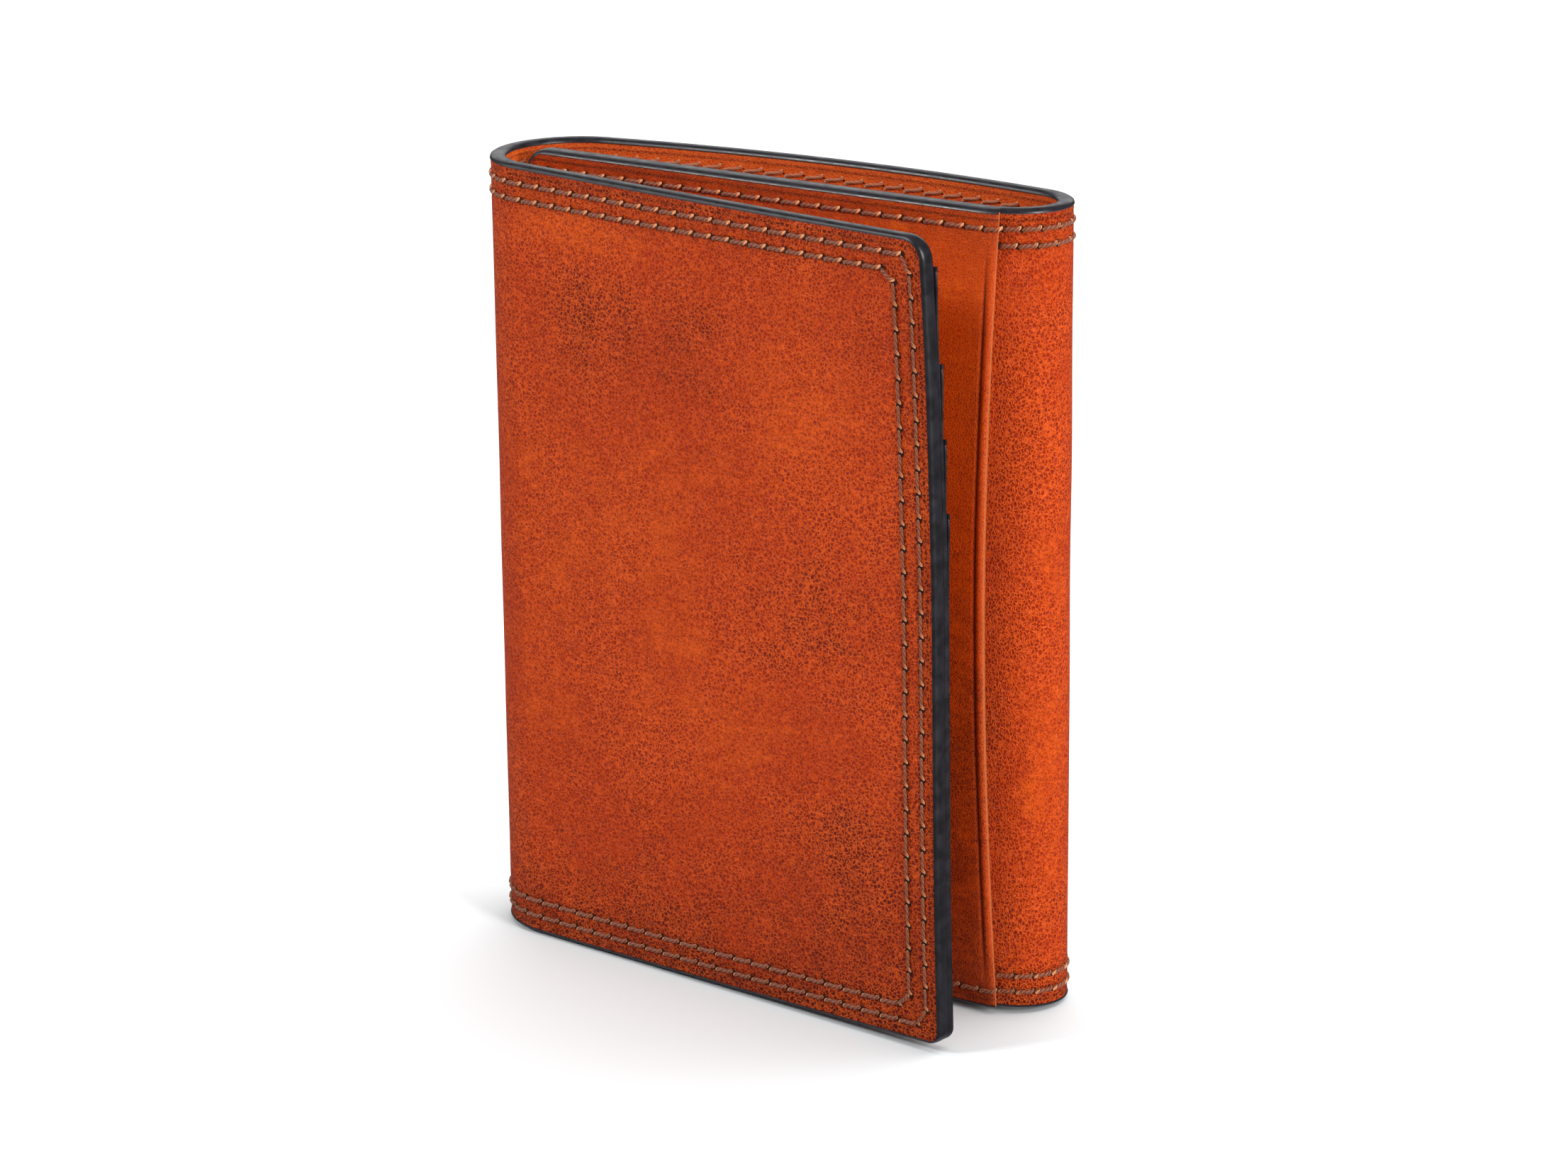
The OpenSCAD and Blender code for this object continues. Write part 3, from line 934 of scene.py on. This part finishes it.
def build_overlay():
    """The outside pocket of the inner flap, from its open edge on the fold to the free edge."""
    fractions = z_lines_edges(GRID, 2.0)
    corner = TOP_CORNER / 60 * (1 - np.cos(np.radians([15, 30, 45, 60, 75])))
    u = np.sort(np.concatenate([np.linspace(0, 1, 170), [0.004, 0.01, 0.02, 0.03], 1 - corner]))
    z_flat = fractions * HEIGHT
    last = INNER_END - BEAD_IN
    s_grid = overlay_edge(z_flat)[None] + (last - overlay_edge(z_flat))[None] * u[:, None]
    lo, hi = z_span(s_grid, BEAD_IN)
    z_grid = lo + (hi - lo) * fractions[None]
    mouth = s_grid - overlay_edge(z_grid)
    edge = edge_distance(s_grid, z_grid)
    roll = 0.2 * np.clip(1 - edge / 0.9, 0, 1) ** 2
    lip = 0.3 * np.clip(1 - mouth / 0.55, 0, 1) ** 2
    inside = np.clip(np.minimum(z_grid - 2, HEIGHT - 4 - z_grid) / 7, 0, 1)
    groove = 0.2 * np.exp(-((mouth - GROOVE) / 0.22) ** 2) * inside
    welt = -0.06 * np.exp(-((mouth - 0.8) / 0.4) ** 2) * inside
    crease = 0.09 * np.exp(-((edge - CREASE_IN) / 0.16) ** 2)
    holes = np.zeros_like(s_grid)
    near = edge < 4.5
    pts = np.stack([s_grid[near], z_grid[near]], -1)
    holes[near] = 0.2 * np.exp(-((pts[:, None] - ROW_A[None]) ** 2).sum(-1).min(1) / 0.25)
    row = ROW_DENT * np.exp(-((edge - ROW_1) / DENT_REACH) ** 2)
    outer = -OVERLAY_T + roll + lip + groove + welt + crease + holes + row
    piece = slab("overlay_pocket", s_grid, z_grid, outer, np.zeros_like(outer), OVERLAY, 60)
    set_layer(piece.data, "mouth", np.tile(mouth.ravel(), 2))
    set_layer(piece.data, "groove", np.tile(inside.ravel(), 2))
    bend(piece)
    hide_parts("inner_overlay")


# ---------------------------------------------------------------- thread

THREAD_R = 0.27
RINGS, SIDES, PLIES = 15, 12, 3


def stitch_mesh(first, last, base, sign, slant, thick):
    """One stitch between two holes, lying on a face at depth base. sign is -1 on the
    outside, where thread stands out of the hide, and 1 inside."""
    span = last - first
    length = np.linalg.norm(span)
    along = span / length
    across = np.array([-along[1], along[0]])
    t = np.linspace(-1, 1, RINGS)
    radius = THREAD_R * thick * np.sqrt(np.clip(1 - 0.55 * t ** 8, 0.05, 1))
    lift = 0.12 - 0.45 * np.abs(t) ** 5
    a = np.linspace(0, 2 * math.pi, SIDES, endpoint=False)
    twist = 2.6 * math.pi * t
    lobe = 1 + 0.13 * np.cos(PLIES * (a[None] - twist[:, None] / PLIES * 1.7))
    r = radius[:, None] * lobe
    off_across = r * np.cos(a)[None]
    off_up = r * np.sin(a)[None] * 0.85 + lift[:, None]
    mid = (first + last) / 2
    curl = 0.16 * np.sin(math.pi * t) * np.sign(slant)
    pos = mid + (t * (length / 2) * 1.03)[:, None] * along + curl[:, None] * across
    s = pos[:, :1] + off_across * across[0]
    z = pos[:, 1:] + off_across * across[1]
    depth = base + sign * off_up
    faces = ring_faces(RINGS, SIDES)
    faces += [list(range(SIDES)), [(RINGS - 1) * SIDES + k for k in range(SIDES)]]
    hide = np.stack([s, z, depth], -1)
    # painted highlight towards a stitch's ends, where they rise to the holes, and painted shade between
    # the plies
    lit_ends = np.clip((t - 0.45) / 0.4, 0, 1)[:, None] + np.clip((-t - 0.7) / 0.3, 0, 1)[:, None] * 0.5
    shade = np.clip((lobe - 0.87) / 0.26, 0, 1) * (0.42 + 0.2 * lit_ends) + 0.38 * lit_ends
    return s, z, depth, faces, hide.reshape(-1, 3), shade.ravel()


HOLE_SIDES = 10
HOLE_RINGS = ((0.45, 0.02), (0.85, 0.0), (1.0, -0.06), (0.7, -0.22))    # size and rise


def hole_mesh(at, along, base, sign, slant):
    """The slanted slit that two stitches share, as a flat dark lens of painted shade on the hide."""
    left = np.array([along[1], -along[0]])
    axis = left * (abs(slant) + 0.26) - along * 0.2
    short = along * 0.42
    a = np.linspace(0, 2 * math.pi, HOLE_SIDES, endpoint=False)
    rings = []
    for size, rise in HOLE_RINGS:
        pts = at + size * (np.cos(a)[:, None] * axis + np.sin(a)[:, None] * short)
        rings.append(np.column_stack([pts, np.full(HOLE_SIDES, base + sign * rise)]))
    hide = np.array(rings)
    s, z, depth = hide[..., 0], hide[..., 1], hide[..., 2]
    faces = ring_faces(len(HOLE_RINGS), HOLE_SIDES)
    last = (len(HOLE_RINGS) - 1) * HOLE_SIDES
    faces += [list(range(HOLE_SIDES)), [last + j for j in range(HOLE_SIDES)]]
    return s, z, depth, faces, hide.reshape(-1, 3), np.zeros(hide.size // 3)


def face_depth(s, z, inside):
    """Depth of the face that thread lies on at a point of the cover or lining."""
    if inside:
        return BODY_T - 0.04
    over = (s > overlay_edge(z)) & (edge_distance(s, z) < ROW_1 + 0.6)
    return np.where(over, -OVERLAY_T + 0.05, 0.05)


def row_parts(points, inside, lo, hi):
    """Stitches and needle holes of a row from lo to hi, and their material numbers. Stitches
    outside are thinner up the free edges, and all of those inside are thinner."""
    slant = -SLANT_IN if inside else SLANT_OUT
    sign = 1 if inside else -1
    sunk = 0.14 if inside else 0.03
    firsts, lasts, along = stitch_list(points, slant)
    mids = (points[:-1] + points[1:]) / 2
    parts, mats = [], []
    for k in range(len(mids)):
        if not lo <= mids[k][0] < hi:
            continue
        base = float(face_depth(mids[k][0], mids[k][1], inside))
        thick = 0.85 if inside else 1.0 if abs(along[k][0]) > 0.7 else 0.74
        s, z, depth, faces, hide, shade = stitch_mesh(firsts[k], lasts[k], base, sign, slant,
                                                      thick)
        parts.append((place(s, z, depth).reshape(-1, 3), faces, hide, shade))
        mats.append(0)
        base = float(face_depth(points[k][0], points[k][1], inside))
        s, z, depth, faces, hide, shade = hole_mesh(points[k], along[k], base - sunk * sign,
                                                    sign, slant)
        parts.append((place(s, z, depth).reshape(-1, 3), faces, hide, shade))
        mats.append(1)
    return parts, mats


def build_thread():
    for seg in SEGMENTS:
        for inside in (False, True):
            parts, mats = [], []
            for row in (ROW_A, ROW_B):
                p, m = row_parts(row, inside, seg["lo"], seg["hi"])
                parts += p
                mats += m
            label = "inside" if inside else "outside"
            material = THREAD_IN if inside else THREAD
            piece = join_parts(f"thread_{label}_{seg['name']}", parts, [material, HOLE], 60, mats)
            bend(piece)
            if not inside:
                part = seg["name"].split("_")[0]
                if part in ("back", "front", "inner"):
                    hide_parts(f"{part}_thread")


# ---------------------------------------------------------------- set, light and camera

CAM_AZ, CAM_EL, CAM_ROLL = math.radians(32.9), math.radians(16.26), math.radians(-0.475)
CAM_DIST = 0.6518
CAM_AIM = (0.745, -14.76, 52.42)    # x and y in the plan and the height, mm
LENS, SENSOR = 112.068716, 36.0     # mm


def make_camera():
    """The photo's camera, fitted to the wallet's outline."""
    level = math.cos(CAM_EL)
    back = Vector((math.sin(CAM_AZ) * level, -math.cos(CAM_AZ) * level, math.sin(CAM_EL)))
    right = Vector((math.cos(CAM_AZ), math.sin(CAM_AZ), 0))
    up = back.cross(right)
    x = math.cos(CAM_ROLL) * right + math.sin(CAM_ROLL) * up
    y = back.cross(x)
    aim = Vector(((CAM_AIM[0] - ORIGIN[0]) * MM, (CAM_AIM[1] - ORIGIN[1]) * MM, CAM_AIM[2] * MM))
    data = bpy.data.cameras.new("camera")
    data.sensor_width = SENSOR
    data.lens = LENS
    data.clip_start, data.clip_end = 0.01, 20
    cam = bpy.data.objects.new("camera", data)
    turn = Matrix((x, y, back)).transposed().to_4x4()
    cam.matrix_world = Matrix.Translation(aim + CAM_DIST * back) @ turn
    bpy.context.scene.collection.objects.link(cam)
    bpy.context.scene.camera = cam


FLOOR_HALF, FLOOR_Z = 3.0, -0.0003  # the floor is just below the lowest paint
LIGHT_AIM = Vector((0, 0, HEIGHT / 2 * MM))


def area_light(name, at, size, power, glossy=True):
    """A rectangular light that looks at the wallet's middle."""
    data = bpy.data.lights.new(name, "AREA")
    data.shape, data.size, data.size_y = "RECTANGLE", size[0], size[1]
    data.energy = power
    obj = bpy.data.objects.new(name, data)
    obj.visible_glossy = glossy
    obj.location = at
    obj.rotation_euler = (LIGHT_AIM - Vector(at)).to_track_quat("-Z", "Y").to_euler()
    bpy.context.scene.collection.objects.link(obj)


def make_set():
    """Floor, dim white world and the lights. The floor and the overhead light are left out
    of reflections, which would veil the leather."""
    mesh = bpy.data.meshes.new("floor")
    corners = [(x * FLOOR_HALF, y * FLOOR_HALF, FLOOR_Z)
               for x, y in ((-1, -1), (1, -1), (1, 1), (-1, 1))]
    mesh.from_pydata(corners, [], [(0, 1, 2, 3)])
    n = Nodes("floor")
    n.set(Base_Color=(0.71, 0.735, 0.742, 1), Roughness=0.9, Specular_IOR_Level=0.1)
    mesh.materials.append(n.mat)
    floor = bpy.data.objects.new("floor", mesh)
    floor.visible_glossy = False
    bpy.context.scene.collection.objects.link(floor)
    world = bpy.data.worlds.new("studio")
    world.use_nodes = True
    background = world.node_tree.nodes["Background"]
    background.inputs["Color"].default_value = (1, 1, 1, 1)
    background.inputs["Strength"].default_value = 0.1
    bpy.context.scene.world = world
    area_light("overhead", (0.1, 0.5, 1.2), (2.1, 2.1), 38.0, glossy=False)
    area_light("key", (-0.8, -0.95, 0.95), (0.3, 0.3), 12.0)
    area_light("left", (-1.15, -0.4, 0.4), (0.25, 0.6), 1.6)
    area_light("rim", (-0.73, 1.13, 0.5), (1.4, 0.4), 2.5)
    area_light("right", (0.98, -0.3, 0.4), (0.3, 0.5), 10.5)


make_camera()
make_set()
bpy.context.scene.view_settings.view_transform = "Standard"
build_cover()
build_lining()
build_edges()
build_leaves()
build_overlay()
build_thread()
